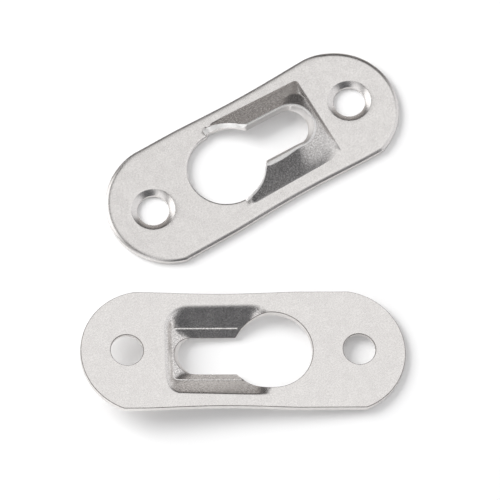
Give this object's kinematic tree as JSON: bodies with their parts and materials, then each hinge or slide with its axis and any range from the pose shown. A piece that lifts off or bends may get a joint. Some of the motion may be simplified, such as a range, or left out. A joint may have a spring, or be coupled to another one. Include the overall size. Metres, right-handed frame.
{
  "type": "keyhole picture hanger",
  "caption": "Flat steel hanger plates with rounded ends, countersunk screw holes and a raised keyhole slot that drops over a wall screw; one lies bulge up, its twin bulge down.",
  "frame": {"origin": "midway between the two screw holes of the bulge-up plate, on its flat back, which is also the surface that both plates lie on", "axes": "+X along the bulge-up plate towards the closed end of its slot, +Y across it, +Z out of its back towards the bulge"},
  "size_m": [0.0561, 0.0464, 0.0048],
  "materials": {
    "nickel_plate": "satin nickel plating over pressed sheet steel"
  },
  "bodies": {
    "plate": {"hanger_bulge_up": "nickel_plate"},
    "loose_plate": {"hanger_bulge_down": "nickel_plate"}
  },
  "joints": [
    {"name": "loose_plate_lift", "type": "slide", "parent": "plate", "child": "loose_plate", "axis": [0, 0, 1], "range_m": [0, 0.05]}
  ]
}
